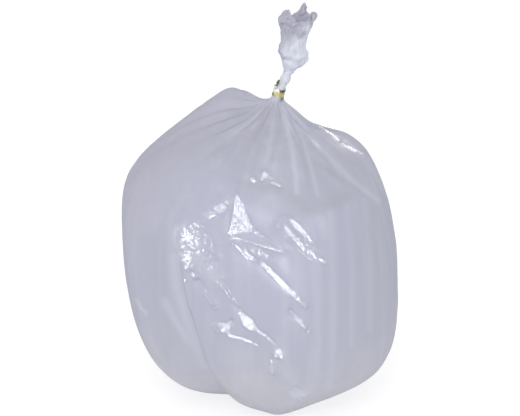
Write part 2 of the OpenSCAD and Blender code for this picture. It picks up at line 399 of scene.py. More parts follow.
def relax(mesh, share, rounds):
    """Moves each point towards its neighbours' mean, by its share, to round off flat facets."""
    pairs = np.empty(len(mesh.edges) * 2, dtype=np.int32)
    mesh.edges.foreach_get("vertices", pairs)
    a, b = pairs.reshape(-1, 2).T
    points = positions(mesh)
    count = np.bincount(a, minlength=len(points)) + np.bincount(b, minlength=len(points))
    weight = (share / np.maximum(count, 1))[:, None]
    for _ in range(rounds):
        total = np.zeros_like(points)
        for axis in range(3):
            total[:, axis] = (np.bincount(a, points[b, axis], len(points))
                              + np.bincount(b, points[a, axis], len(points)))
        points = points + weight * total - share[:, None] * points
    set_positions(mesh, points)


def in_body(middles):
    height, distance = along_neck(middles)
    return ~((height > BAND_HEIGHT / 2) & (distance < OPEN_END_REACH))


# The wanted edge lengths of the film, and the pixels between which its front has middle-sized faces
SHARP_EDGE, MIDDLE_EDGE, FRONT_EDGE, BACK_EDGE = 0.001, 0.0022, 0.0035, 0.005
OPEN_END_EDGE = 0.0014
MIDDLE_LEFT, MIDDLE_RIGHT, MIDDLE_TOP, MIDDLE_BOTTOM = 170, 335, 165, 402
BACK_STARTS_AT = 0.02


def body_edge_length(points):
    """Fine where the photograph shows sharp glints, coarser at the sides and at the back."""
    x, y = pixels(points)
    front = points[:, 1] < BACK_STARTS_AT
    middle = front & (x > MIDDLE_LEFT) & (x < MIDDLE_RIGHT) & (y > MIDDLE_TOP) & (y < MIDDLE_BOTTOM)
    sharp = front & (sample(fineness, x, y) > 0.5)
    return np.where(sharp, SHARP_EDGE, np.where(middle, MIDDLE_EDGE, np.where(front, FRONT_EDGE, BACK_EDGE)))


# Where the pleats round the neck and the flat foot end, so that the film between them can be rounded off
PLEATS_END, PLEATS_FADE = 0.09, 0.05
FOOT_FADE = 0.03


def round_off_body():
    points = positions(body_mesh)
    distance = along_neck(points)[1]
    away = smooth_step((distance - PLEATS_END) / PLEATS_FADE) * smooth_step(points[:, 2] / FOOT_FADE)
    relax(body_mesh, 0.5 * away, 24)


body_mesh = coarse_part("bag_film", in_body)
refine(body_mesh, body_edge_length, 5)
round_off_body()
tail_mesh = coarse_part("bag_open_end", lambda middles: ~in_body(middles))
refine(tail_mesh, lambda middles: np.full(len(middles), OPEN_END_EDGE), 2)


def zigzag(x):
    """A wave of straight lines between -1 and 1."""
    return 4 * np.abs(x - np.floor(x + 0.5)) - 1


def crumple(points, wavelength, seed, families=5):
    """Flat facets between sharp creases, from waves in several directions that bend a little."""
    random = np.random.default_rng(seed)
    total = np.zeros(len(points))
    for _ in range(families):
        direction = unit(random.normal(size=3))
        bend = unit(random.normal(size=3))
        length = wavelength * random.uniform(0.7, 1.5)
        warp = 0.25 * np.sin(points @ bend * 2 * math.pi / (2.3 * wavelength) + random.uniform(0, 6))
        total += zigzag(points @ direction / length + warp + random.uniform()) * random.uniform(0.5, 1)
    return total / families


def move_along_normals(mesh, height):
    set_positions(mesh, positions(mesh) + vertex_normals(mesh) * height[:, None])


# The body's large folds are higher towards the back, where small folds are added
LARGE_FOLD_LENGTH, LARGE_FOLD_SEED = 0.085, 3
SMALL_FOLD_LENGTH, SMALL_FOLD_SEED = 0.035, 8
FRONT_FOLDS, BACK_FOLDS, BACK_SMALL_FOLDS = 0.0007, 0.0022, 0.0012


def crumple_body():
    points = positions(body_mesh)
    distance = along_neck(points)[1]
    away = smooth_step((distance - 0.03) / 0.06) * smooth_step(points[:, 2] / FOOT_FADE)
    back = smooth_step((points[:, 1] + 0.02) / 0.08)
    amount = away * (FRONT_FOLDS + BACK_FOLDS * back)
    large = crumple(points, LARGE_FOLD_LENGTH, LARGE_FOLD_SEED)
    small = crumple(points, SMALL_FOLD_LENGTH, SMALL_FOLD_SEED)
    move_along_normals(body_mesh, amount * large + away * back * BACK_SMALL_FOLDS * small)


# Each family of the open end's folds has its height, wavelength and seed, and below 1 they run upwards
OPEN_END_FOLDS = [
    (0.0044, 0.019, 12, 1),
    (0.0016, 0.009, 21, 1),
    (0.0026, 0.013, 31, 0.3),
]


def crumple_tail():
    points = positions(tail_mesh)
    height = along_neck(points)[0]
    relax(tail_mesh, 0.5 * smooth_step((height - 0.045) / 0.03), 30)
    away = smooth_step((height - BAND_HEIGHT) / 0.012)
    folds = np.zeros(len(points))
    for rise, wavelength, seed, upright in OPEN_END_FOLDS:
        folds += rise * crumple(points * (1, 1, upright), wavelength, seed)
    move_along_normals(tail_mesh, away * folds)


# Where along x the mouth's right flap and its rear point stand, how wide they are and how far they are raised
FLAP_X, FLAP_WIDTH = 0.060, 0.010
REAR_POINT_X, REAR_POINT_WIDTH = 0.051, 0.006
MOUTH_RAISE = 0.004
# Past this x the flap is drawn in by this share, and the whole flap swells
FLAP_LIMIT_X, FLAP_DRAWN_IN = 0.055, 0.3
FLAP_SWELL = 0.0030


def widen_mouth():
    """Rounds the right flap of the mouth and raises it and the rear point."""
    points = positions(tail_mesh)
    height = along_neck(points)[0]
    top = smooth_step((height - 0.078) / 0.03)
    front = smooth_step((0.010 - points[:, 1]) / 0.006)
    flap = np.exp(-((points[:, 0] - FLAP_X) / FLAP_WIDTH) ** 2)
    points[:, 2] += MOUTH_RAISE * flap * top * front
    points[:, 0] -= FLAP_DRAWN_IN * np.maximum(points[:, 0] - FLAP_LIMIT_X, 0) * top
    rear_point = np.exp(-((points[:, 0] - REAR_POINT_X) / REAR_POINT_WIDTH) ** 2)
    points[:, 2] += MOUTH_RAISE * rear_point * top * (1 - front)
    set_positions(tail_mesh, points)
    flap = smooth_step((points[:, 0] - 0.050) / 0.010) * smooth_step((height - 0.070) / 0.01)
    move_along_normals(tail_mesh, FLAP_SWELL * flap)


crumple_body()
crumple_tail()
widen_mouth()

# Folds of the front, worked out over the photograph's pixels

def mesh_tree(mesh):
    mesh.calc_loop_triangles()
    triangles = np.empty(len(mesh.loop_triangles) * 3, dtype=np.int32)
    mesh.loop_triangles.foreach_get("vertices", triangles)
    return BVHTree.FromPolygons([Vector(p) for p in positions(mesh)], triangles.reshape(-1, 3).tolist(),
                                all_triangles=True)


def seen_surface(tree):
    """The point of the film behind every second pixel of the grid in both directions."""
    rays_x, rays_y = grid_x[::RAY_STEP, ::RAY_STEP], grid_y[::RAY_STEP, ::RAY_STEP]
    hits = np.full(rays_x.shape + (3,), np.nan)
    start = Vector(CAMERA_AT)
    for row in range(rays_x.shape[0]):
        for column in range(rays_x.shape[1]):
            place = tree.ray_cast(start, Vector(pixel_ray(rays_x[row, column], rays_y[row, column])))[0]
            if place is not None:
                hits[row, column] = place
    return hits


def to_grid(field):
    """A field of the rays brought to the whole grid."""
    rows = np.minimum(np.arange(grid_x.shape[0]) / RAY_STEP, field.shape[0] - 1.001)
    columns = np.minimum(np.arange(grid_x.shape[1]) / RAY_STEP, field.shape[1] - 1.001)
    i, j = rows.astype(int), columns.astype(int)
    v, u = (rows - i)[:, None], (columns - j)[None, :]
    return ((field[i][:, j] * (1 - u) + field[i][:, j + 1] * u) * (1 - v)
            + (field[i + 1][:, j] * (1 - u) + field[i + 1][:, j + 1] * u) * v)


surface = seen_surface(mesh_tree(body_mesh))
across = np.nan_to_num(np.gradient(surface, axis=1))
down = np.nan_to_num(np.gradient(surface, axis=0))
surface_normal = unit(np.cross(down, across))
facing = np.sum(surface_normal * unit(CAMERA_AT - np.nan_to_num(surface)), axis=-1)
surface_normal[facing < 0] *= -1

# Each small lamp stands where the smooth film mirrors it into the camera at its pixel
SPARK_PIXELS = [(240, 218), (343, 142), (320, 226)]
SPARK_DISTANCE = 2.6
# The film's direction at a pixel is the mean over this many rays on each side
RAYS_AROUND = 8


def spark_lamp_place(pixel):
    row = int(round((pixel[1] - GRID_TOP) / STEP / RAY_STEP))
    column = int(round((pixel[0] - GRID_LEFT) / STEP / RAY_STEP))
    near = (slice(row - RAYS_AROUND, row + RAYS_AROUND + 1),
            slice(column - RAYS_AROUND, column + RAYS_AROUND + 1))
    place = surface[row, column]
    normal = unit(np.nanmean(surface_normal[near].reshape(-1, 3), axis=0))
    to_camera = unit(CAMERA_AT - place)
    return place + SPARK_DISTANCE * (2 * (normal @ to_camera) * normal - to_camera)


# The low and the left lamp are placed at given points
LOW_SPARK_AT = CAMERA_TARGET + np.array([0.24, -2.57, -0.04])
LEFT_SPARK_AT = CAMERA_TARGET + np.array([-1.86, -1.80, 0.23])
SPARKS_AT = [spark_lamp_place(pixel) for pixel in SPARK_PIXELS] + [LOW_SPARK_AT, LEFT_SPARK_AT]


# Film that faces further away than this from the wanted direction counts as if it faced this much
LEAST_FACING = 0.2


def wanted_slopes(lamp_at):
    """The slope, along both pixel directions, that turns the film to mirror a lamp into the camera."""
    safe = np.nan_to_num(surface)
    half = unit(unit(lamp_at - safe) + unit(CAMERA_AT - safe))
    lift = np.maximum(np.sum(half * surface_normal, axis=-1), LEAST_FACING)
    return [to_grid(-np.sum(half * step, axis=-1) / lift) / RAY_STEP for step in (across, down)]


# How strongly the film between the marks keeps its slope, how far a facet may rise before it breaks, over how
# many pixels the rise around large and small marks dies out, and the steepest slope
LOOSE = 0.005
FACET_RISE = 0.0075
LARGE_FADE, SMALL_FADE = 20, 3.5
STEEPEST = math.tan(math.radians(30))
LARGE_SEED, SMALL_SEED = 4, 5
MARK_EDGE = 0.7
SOLVER_ROUNDS = 1500
SOLVER_TOLERANCE = 1e-7


def solve_heights(slope_x, slope_y, weight, spread):
    """The heights with the wanted slopes where the weight is high, and small and smooth elsewhere."""
    weight_x = np.maximum(weight[:, 1:], weight[:, :-1])
    weight_y = np.maximum(weight[1:], weight[:-1])
    goal_x = weight[:, 1:] * slope_x[:, 1:] + weight[:, :-1] * slope_x[:, :-1]
    goal_y = weight[1:] * slope_y[1:] + weight[:-1] * slope_y[:-1]
    goal_x *= weight_x / (weight[:, 1:] + weight[:, :-1])
    goal_y *= weight_y / (weight[1:] + weight[:-1])

    def gather(flow_x, flow_y):
        result = np.zeros_like(weight)
        result[:, :-1] -= flow_x
        result[:, 1:] += flow_x
        result[:-1] -= flow_y
        result[1:] += flow_y
        return result

    def apply(h):
        return gather(weight_x * np.diff(h, axis=1), weight_y * np.diff(h, axis=0)) + spread * h

    goal = gather(goal_x, goal_y)
    heights = np.zeros_like(weight)
    residual = goal - apply(heights)
    direction = residual.copy()
    energy = first = np.sum(residual ** 2)
    for _ in range(SOLVER_ROUNDS):
        image = apply(direction)
        step = energy / max(np.sum(direction * image), 1e-30)
        heights += step * direction
        residual -= step * image
        fresh = np.sum(residual ** 2)
        if fresh < SOLVER_TOLERANCE * first:
            break
        direction = residual + fresh / energy * direction
        energy = fresh
    return heights


# The small facets of a crinkled area: half lengths and half widths in pixels, how many lie across the others,
# how far they turn, and by how many degrees they miss their lamp at most
CRINKLE_LENGTHS = (1.5, 5.5)
CRINKLE_WIDTHS = (0.3, 0.6)
CRINKLE_EDGE = 0.8
CROSSING_SHARE = 0.3
CRINKLE_TURN = 20
CRINKLE_MISS = 4


def crinkle_marks(random):
    """Small facets strewn over the crinkled areas, most of them a few degrees off the lamp."""
    marks = []
    for corners, count, heading, lamp in CRINKLES:
        rows, columns = np.nonzero(inside(corners) > 0)
        for pick in random.integers(0, len(rows), count):
            x, y = GRID_X[columns[pick]], GRID_Y[rows[pick]]
            across_others = random.random() < CROSSING_SHARE
            turn = math.radians(heading + 90 * across_others + random.normal(0, CRINKLE_TURN))
            length, width = random.uniform(*CRINKLE_LENGTHS), random.uniform(*CRINKLE_WIDTHS)
            a = (x - length * math.cos(turn), y - length * math.sin(turn))
            b = (x + length * math.cos(turn), y + length * math.sin(turn))
            mark = smooth_step((width - segment_distance(a, b)) / CRINKLE_EDGE + 0.5)
            marks.append((mark, random.uniform(0, CRINKLE_MISS), lamp))
    return marks


# The breaks shift from patch to patch of the grid
PATCHES, PATCH_SIZE = 24, 30


def breaks(heights, weight, random):
    """Where a facet would rise too far it is broken, and starts again lower down."""
    patches = np.kron(random.random((PATCHES, PATCHES)), np.ones((PATCH_SIZE, PATCH_SIZE)))
    phase = heights / FACET_RISE + 0.4 + 0.2 * patches[:weight.shape[0], :weight.shape[1]]
    across_break = np.abs(np.diff(np.floor(phase), axis=1, append=0)) > 0
    down_break = np.abs(np.diff(np.floor(phase), axis=0, append=0)) > 0
    broken = (across_break | down_break).astype(float)
    for axis in (0, 1):
        broken = np.maximum(broken, np.maximum(np.roll(broken, 1, axis), np.roll(broken, -1, axis)))
    return np.where(broken > 0, LOOSE, weight)


def blend_marks(marks, weight, slope_x, slope_y, mirrors, random):
    """Lays marks over the wanted slopes, each turned a little off its lamp."""
    for mark, miss, lamp in marks:
        turn = random.uniform(0, 2 * math.pi)
        tilt = math.tan(math.radians(miss)) * METRES_PER_PIXEL * STEP
        slope_x = slope_x * (1 - mark) + mark * (mirrors[lamp][0] + tilt * math.cos(turn))
        slope_y = slope_y * (1 - mark) + mark * (mirrors[lamp][1] + tilt * math.sin(turn))
        weight = np.maximum(weight, mark)
    return weight, slope_x, slope_y


def limit_slopes(slope_x, slope_y):
    steepest = STEEPEST * METRES_PER_PIXEL * STEP
    gentler = np.minimum(1, steepest / np.maximum(np.hypot(slope_x, slope_y), 1e-12))
    return slope_x * gentler, slope_y * gentler


def front_heights():
    """Heights of the front's glinting facets, ridges and crinkles above the smooth film."""
    mirrors = [wanted_slopes(place) for place in SPARKS_AT]
    nothing = np.zeros(grid_x.shape)
    large = [(smooth_step(inside(corners) / MARK_EDGE + 0.5), miss, lamp) for corners, miss, lamp in FACETS]
    large += [(smooth_step((width - line_distance(line)) / MARK_EDGE + 0.5), miss, lamp)
              for line, width, miss, lamp in RIDGES]
    random = np.random.default_rng(LARGE_SEED)
    weight, *slopes = blend_marks(large, nothing + LOOSE, nothing, nothing, mirrors, random)
    whole = solve_heights(*limit_slopes(*slopes), weight, LOOSE * (STEP / LARGE_FADE) ** 2)
    weight = breaks(whole, weight, random)
    random = np.random.default_rng(SMALL_SEED)
    weight, *slopes = blend_marks(crinkle_marks(random), weight, *slopes, mirrors, random)
    return solve_heights(*limit_slopes(*slopes), weight, LOOSE * (STEP / SMALL_FADE) ** 2 * (1.02 - weight))


# The share of its length over which an overlap begins, its step's width in pixels, and its swell's reach as a
# share of how far it takes to come back
OVERLAP_START = 0.3
OVERLAP_STEP = 1.6
SWELL_REACH = 0.8


def overlap_heights():
    """Lines along which one part of the film lies over the next."""
    total = np.zeros(grid_x.shape)
    for line, sink, reach, swell in OVERLAPS:
        left, along = beside(line)
        begun = smooth_step(along / OVERLAP_START)
        step = smooth_step(left / OVERLAP_STEP + 0.5)
        total += begun * (-sink * step * np.exp(-np.maximum(left, 0) / reach)
                          + swell * (1 - step) * np.exp(-np.maximum(-left, 0) / (SWELL_REACH * reach)))
    return total


front = front_heights() + overlap_heights()


# The cosine of the angle between the film and the camera below which the folds fade out
GRAZING = 0.25


def displace_body():
    """Moves the film's front by its folds, and notes for the material where it is paler with painted light
    and highlights, where it has painted shade, and where it is glossy.
    """
    points = positions(body_mesh)
    normals = vertex_normals(body_mesh)
    x, y = pixels(points)
    to_camera = unit(CAMERA_AT - points)
    seen = smooth_step(np.sum(normals * to_camera, axis=1) / GRAZING)
    inside_grid = (x > GRID_LEFT) & (x < GRID_RIGHT) & (y > GRID_TOP) & (y < GRID_BOTTOM)
    height = np.where(inside_grid, sample(front, x, y), 0) * seen
    set_positions(body_mesh, points + normals * height[:, None])
    shares = {"pale": bands(PALE_AND_HIGHLIGHT_BANDS), "painted_shade": bands(SHADE_BANDS), "glint": glint_places()}
    for name, field in shares.items():
        share = np.where(inside_grid, sample(field, x, y), 0) * seen
        layer = body_mesh.attributes.new(name, "FLOAT", "POINT")
        layer.data.foreach_set("value", share.astype(np.float32))


# How far the film above the foot is lifted at each angle around it, in degrees and metres: the lobe at the
# lower left hangs a little lower than the solid's, and a notch follows to its right
LOWER_LIFTS = [(196, 0), (206, -0.003), (214, -0.004), (220, -0.003), (225, 0.003), (230, 0.011),
               (234, 0.013), (240, 0.012), (253, 0.010), (259, 0.007), (268, 0.003), (276, 0)]
LIFT_TOP, LIFT_FADE = 0.105, 0.07
FOOT_MIDDLE, FOOT_MIDDLE_FADE = 0.04, 0.04


def shape_lower_left():
    points = positions(body_mesh)
    angle = np.degrees(np.arctan2(points[:, 1], points[:, 0])) % 360
    lift = np.interp(angle, *zip(*LOWER_LIFTS))
    lift *= smooth_step((LIFT_TOP - points[:, 2]) / LIFT_FADE)
    lift *= smooth_step((np.hypot(points[:, 0], points[:, 1]) - FOOT_MIDDLE) / FOOT_MIDDLE_FADE)
    points[:, 2] = np.maximum(points[:, 2] + lift, 0)
    set_positions(body_mesh, points)


displace_body()
shape_lower_left()
body = link("bag_film", body_mesh)
tail = link("bag_open_end", tail_mesh)

# Materials

def new_material(name):
    material = bpy.data.materials.new(name)
    material.use_nodes = True
    nodes = material.node_tree.nodes
    nodes.clear()
    return material, nodes, material.node_tree.links


def feed(links, socket, value):
    """Links an input if it is given another node's output, and sets it if it is given a value."""
    if isinstance(value, bpy.types.NodeSocket):
        links.new(value, socket)
    else:
        socket.default_value = value


def node(nodes, links, kind, **inputs):
    """A new node with its inputs fed by name, or by number after an underscore."""
    made = nodes.new(kind)
    for name, value in inputs.items():
        socket = made.inputs[int(name[1:])] if name[1:].isdigit() else made.inputs[name.replace("_", " ")]
        feed(links, socket, value)
    return made


def blend_colours(nodes, links, share, first, second):
    mix = nodes.new("ShaderNodeMix")
    mix.data_type = "RGBA"
    for index, value in ((0, share), (6, first), (7, second)):
        feed(links, mix.inputs[index], value)
    return mix.outputs[2]


def ramp(nodes, links, value, low, high, to_low=0.0, to_high=1.0):
    """Smoothly from one value to another, while the source goes from low to high."""
    made = nodes.new("ShaderNodeMapRange")
    made.interpolation_type = "SMOOTHSTEP"
    links.new(value, made.inputs["Value"])
    for name, number in (("From Min", low), ("From Max", high), ("To Min", to_low), ("To Max", to_high)):
        made.inputs[name].default_value = number
    return made.outputs["Result"]


def math_node(nodes, links, operation, a, b):
    made = nodes.new("ShaderNodeMath")
    made.operation = operation
    feed(links, made.inputs[0], a)
    feed(links, made.inputs[1], b)
    return made.outputs[0]


def noise(nodes, links, vector, scale, detail=2.0, stretch=(1, 1, 1), shift=(0, 0, 0)):
    """Noise between 0 and 1 over a stretched space."""
    mapping = nodes.new("ShaderNodeMapping")
    mapping.inputs["Scale"].default_value = stretch
    mapping.inputs["Location"].default_value = shift
    links.new(vector, mapping.inputs["Vector"])
    texture = nodes.new("ShaderNodeTexNoise")
    texture.inputs["Scale"].default_value = scale
    texture.inputs["Detail"].default_value = detail
    links.new(mapping.outputs["Vector"], texture.inputs["Vector"])
    return texture.outputs["Fac"]


# The film's colours: blue-grey in the middle, greyer above, warmer below, and pale where layers gather; the
# middle, upper and lower colours are painted light and shade
FILM_MIDDLE = (0.53, 0.545, 0.665, 1)
FILM_UPPER = (0.525, 0.525, 0.625, 1)
FILM_LOWER = (0.655, 0.65, 0.705, 1)
FILM_GATHERED = (0.80, 0.82, 0.90, 1)
FILM_RIM = (0.55, 0.55, 0.65, 1)
# Paler film for the streaks, also used for painted light and highlights
FILM_STREAK_AND_HIGHLIGHT = (0.68, 0.695, 0.79, 1)
FILM_SHADE = (0.46, 0.46, 0.52, 1)

# Heights at which the colours change, each from where the change starts to where it is complete
UPPER_ZONE = (0.335, 0.375)
LOWER_ZONE = (0.15, 0.05)
NEAR_NECK = (0.30, 0.38)
GATHERED_ZONE = (0.405, 0.43)
RIM_ZONE = (0.430, 0.456)

# How opaque the film is between its streaks and on them, and how much more so where it is gathered
FILM_OPACITY = (0.76, 0.84)
GATHERED_OPACITY = 0.14
CLEAR_TINT = (0.97, 0.97, 0.985, 1)
THROUGH_SHARE = 0.35
GLOSS_LIMIT = 0.11
FILM_IOR = 1.55
# The roughness of the gloss on plain film and where it glints
GLOSS_ROUGHNESS = (0.3, 0.13)


def film_material():
    material, nodes, links = new_material("milky_film")
    place = nodes.new("ShaderNodeTexCoord").outputs["Object"]
    parts = nodes.new("ShaderNodeSeparateXYZ")
    links.new(place, parts.inputs[0])
    x, _, z = parts.outputs

    # The upper zone ends in a wavy border that dips to the right of the middle
    wave = noise(nodes, links, place, 9, 3)
    dip = math_node(nodes, links, "MULTIPLY", ramp(nodes, links, x, -0.12, 0.05), 0.05)
    border = math_node(nodes, links, "ADD", z, dip)
    border = math_node(nodes, links, "ADD", border, ramp(nodes, links, wave, 0.3, 0.7, -0.02, 0.02))
    # The greyer upper zone is painted shade, and partly also more layers of gathered film
    upper = ramp(nodes, links, border, *UPPER_ZONE)
    colour = blend_colours(nodes, links, upper, FILM_MIDDLE, FILM_UPPER)
    # The lighter, warmer lower zone is painted light
    low_border = math_node(nodes, links, "ADD", z, ramp(nodes, links, wave, 0.3, 0.7, -0.03, 0.03))
    lower = ramp(nodes, links, low_border, *LOWER_ZONE)
    colour = blend_colours(nodes, links, lower, colour, FILM_LOWER)

    # Long soft streaks run down the sides, and finer ones out from the neck, which are painted light along
    # the pleats
    streaks = noise(nodes, links, place, 34, 2, stretch=(1, 1, 0.07))
    colour = blend_colours(nodes, links, ramp(nodes, links, streaks, 0.45, 0.8, 0, 0.35), colour, FILM_STREAK_AND_HIGHLIGHT)
    rays = radial_noise(nodes, links, place)
    near_neck = ramp(nodes, links, z, *NEAR_NECK)
    share = math_node(nodes, links, "MULTIPLY", ramp(nodes, links, rays, 0.48, 0.72, 0, 0.6), near_neck)
    colour = blend_colours(nodes, links, share, colour, FILM_STREAK_AND_HIGHLIGHT)

    # Painted shade from the shade bands, and painted light and highlights, with a few real streaks, from the
    # pale bands
    for name, tone in (("painted_shade", FILM_SHADE), ("pale", FILM_STREAK_AND_HIGHLIGHT)):
        layer = nodes.new("ShaderNodeAttribute")
        layer.attribute_name = name
        colour = blend_colours(nodes, links, layer.outputs["Fac"], colour, tone)

    # Many layers lie over each other in the neck, and fewer towards the rim
    gathered = ramp(nodes, links, z, *GATHERED_ZONE)
    colour = blend_colours(nodes, links, gathered, colour, FILM_GATHERED)
    ruffle = ramp(nodes, links, noise(nodes, links, place, 60, 2), 0.3, 0.7, -0.012, 0.012)
    rim = math_node(nodes, links, "ADD", z, ruffle)
    rim = math_node(nodes, links, "SUBTRACT", rim, math_node(nodes, links, "MULTIPLY", x, 1.2))
    colour = blend_colours(nodes, links, ramp(nodes, links, rim, *RIM_ZONE), colour, FILM_RIM)

    # Fine crumpling all over, and a sharper one that breaks up the glints
    glint = nodes.new("ShaderNodeAttribute")
    glint.attribute_name = "glint"
    fine = nodes.new("ShaderNodeBump")
    fine.inputs["Strength"].default_value = 0.35
    fine.inputs["Distance"].default_value = 0.0008
    links.new(noise(nodes, links, place, 150, 3), fine.inputs["Height"])
    sharp = nodes.new("ShaderNodeBump")
    sharp.inputs["Distance"].default_value = 0.0005
    links.new(ramp(nodes, links, glint.outputs["Fac"], 0.1, 0.8, 0, 0.55), sharp.inputs["Strength"])
    links.new(noise(nodes, links, place, 180, 1, shift=(3, 1, 2)), sharp.inputs["Height"])
    links.new(fine.outputs["Normal"], sharp.inputs["Normal"])
    roughness = ramp(nodes, links, glint.outputs["Fac"], 0.1, 0.8, *GLOSS_ROUGHNESS)

    # Clear film, milky film and gloss
    clear = node(nodes, links, "ShaderNodeBsdfTransparent", Color=CLEAR_TINT)
    lit = node(nodes, links, "ShaderNodeBsdfDiffuse", Color=colour, Normal=fine.outputs[0])
    through = node(nodes, links, "ShaderNodeBsdfTranslucent", Color=colour, Normal=fine.outputs[0])
    milky = node(nodes, links, "ShaderNodeMixShader", Fac=THROUGH_SHARE, _1=lit.outputs[0],
                 _2=through.outputs[0])
    opacity = math_node(nodes, links, "ADD", ramp(nodes, links, streaks, 0.3, 0.8, *FILM_OPACITY),
                        math_node(nodes, links, "MULTIPLY", gathered, GATHERED_OPACITY))
    matt = node(nodes, links, "ShaderNodeMixShader", Fac=opacity, _1=clear.outputs[0], _2=milky.outputs[0])
    gloss = node(nodes, links, "ShaderNodeBsdfGlossy", Roughness=roughness, Normal=sharp.outputs[0])
    fresnel = node(nodes, links, "ShaderNodeFresnel", IOR=FILM_IOR, Normal=fine.outputs[0])
    share = math_node(nodes, links, "MINIMUM", fresnel.outputs[0], GLOSS_LIMIT)
    whole = node(nodes, links, "ShaderNodeMixShader", Fac=share, _1=matt.outputs[0], _2=gloss.outputs[0])
    output = nodes.new("ShaderNodeOutputMaterial")
    links.new(whole.outputs[0], output.inputs["Surface"])
    return material


def radial_noise(nodes, links, place):
    """Noise that is the same all along each line out from the neck."""
    out = node(nodes, links, "ShaderNodeVectorMath", _0=place)
    out.operation = "SUBTRACT"
    out.inputs[1].default_value = tuple(NECK_AT)
    flat = nodes.new("ShaderNodeVectorMath")
    flat.operation = "MULTIPLY"
    flat.inputs[1].default_value = (1, 1, 0.1)
    links.new(out.outputs[0], flat.inputs[0])
    even = nodes.new("ShaderNodeVectorMath")
    even.operation = "NORMALIZE"
    links.new(flat.outputs[0], even.inputs[0])
    return noise(nodes, links, even.outputs[0], 7, 3)


# The film's two pieces take the place of the bag's solid

film = film_material()
for piece in (body, tail):
    for polygon in piece.data.polygons:
        polygon.use_smooth = True
    piece.data.materials.clear()
    piece.data.materials.append(film)
    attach(piece, "root")
    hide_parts("bag")


# The tie's foil

FOIL_GOLD = (0.55, 0.44, 0.14, 1)
FOIL_PALE = (0.60, 0.56, 0.38, 1)
FOIL_GREEN = (0.22, 0.27, 0.08, 1)
FOIL_OLIVE = (0.16, 0.17, 0.11, 1)
# Painted shadow, in the fold between the wraps and under the band
FOIL_SHADOW_BLUE = (0.03, 0.05, 0.13, 1)
# A near-white patch
FOIL_WHITE = (0.86, 0.86, 0.82, 1)
FOIL_METALLIC = 0.55
FOIL_ROUGHNESS = (0.22, 0.42)

# Where the tie changes colour, by height and along x, each from where the change starts to where it ends
FOIL_GREEN_ABOVE = (0.4250, 0.4262)
# The fold band right of its x, and the foil below the band, take a painted dark blue shadow
FOIL_FOLD_ABOVE, FOIL_FOLD_BELOW = (0.4225, 0.4235), (0.4258, 0.4250)
FOIL_WHITE_ABOVE, FOIL_WHITE_BELOW = (0.4235, 0.4245), (0.4335, 0.4325)
FOIL_SHADOW_BELOW = (0.4165, 0.4155)
FOIL_OLIVE_ABOVE = (0.4325, 0.4345)
FOIL_GREEN_LEFT_OF = (0.0127, 0.0112)
FOIL_FOLD_RIGHT_OF = (0.0185, 0.0205)
FOIL_WHITE_LEFT_OF = (0.0195, 0.0185)


def foil_material():
    """Crinkled metallic laminate: gold below, green above, with a painted dark blue shadow in its fold and
    under its band, and a near-white patch.
    """
    material, nodes, links = new_material("gold_foil")
    place = nodes.new("ShaderNodeTexCoord").outputs["Object"]
    parts = nodes.new("ShaderNodeSeparateXYZ")
    links.new(place, parts.inputs[0])
    x, _, z = parts.outputs
    patches = noise(nodes, links, place, 260, 2)
    height = math_node(nodes, links, "ADD", z, ramp(nodes, links, patches, 0.35, 0.65, -0.0012, 0.0012))
    mottled = ramp(nodes, links, noise(nodes, links, place, 420, 2), 0.45, 0.65, 0, 0.75)
    colour = blend_colours(nodes, links, mottled, FOIL_GOLD, FOIL_PALE)
    colour = blend_colours(nodes, links, ramp(nodes, links, x, *FOIL_GREEN_LEFT_OF), colour, FOIL_GREEN)
    green = ramp(nodes, links, height, *FOIL_GREEN_ABOVE)
    colour = blend_colours(nodes, links, green, colour, FOIL_GREEN)
    # Painted dark blue shadow in the fold, right of its x
    fold = math_node(nodes, links, "MULTIPLY", ramp(nodes, links, height, *FOIL_FOLD_ABOVE),
                     ramp(nodes, links, height, *FOIL_FOLD_BELOW))
    right = ramp(nodes, links, x, *FOIL_FOLD_RIGHT_OF)
    colour = blend_colours(nodes, links, math_node(nodes, links, "MULTIPLY", fold, right), colour, FOIL_SHADOW_BLUE)
    white_patch = math_node(nodes, links, "MULTIPLY", ramp(nodes, links, height, *FOIL_WHITE_ABOVE),
                       ramp(nodes, links, x, *FOIL_WHITE_LEFT_OF))
    white_patch = math_node(nodes, links, "MULTIPLY", white_patch, ramp(nodes, links, height, *FOIL_WHITE_BELOW))
    colour = blend_colours(nodes, links, white_patch, colour, FOIL_WHITE)
    # Painted shadow under the band
    colour = blend_colours(nodes, links, ramp(nodes, links, z, *FOIL_SHADOW_BELOW), colour, FOIL_SHADOW_BLUE)
    colour = blend_colours(nodes, links, ramp(nodes, links, height, *FOIL_OLIVE_ABOVE), colour, FOIL_OLIVE)
    crinkle = nodes.new("ShaderNodeBump")
    crinkle.inputs["Strength"].default_value = 0.6
    crinkle.inputs["Distance"].default_value = 0.0004
    links.new(noise(nodes, links, place, 900, 3), crinkle.inputs["Height"])
    roughness = ramp(nodes, links, patches, 0.3, 0.7, *FOIL_ROUGHNESS)
    foil = node(nodes, links, "ShaderNodeBsdfPrincipled", Base_Color=colour, Metallic=FOIL_METALLIC,
                Roughness=roughness, Normal=crinkle.outputs[0])
    output = nodes.new("ShaderNodeOutputMaterial")
    links.new(foil.outputs[0], output.inputs["Surface"])
    return material


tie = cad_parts["twist_tie"]
tie.data.materials.clear()
tie.data.materials.append(foil_material())

# Floor, light and world

FLOOR_REACH = 8
FLOOR_DROP = 0.0005
FLOOR_COLOUR = (0.86, 0.86, 0.86, 1)
SEEN_FLOOR_COLOUR = (0.45, 0.45, 0.45, 1)
SEEN_FLOOR_LIFT = 0.70


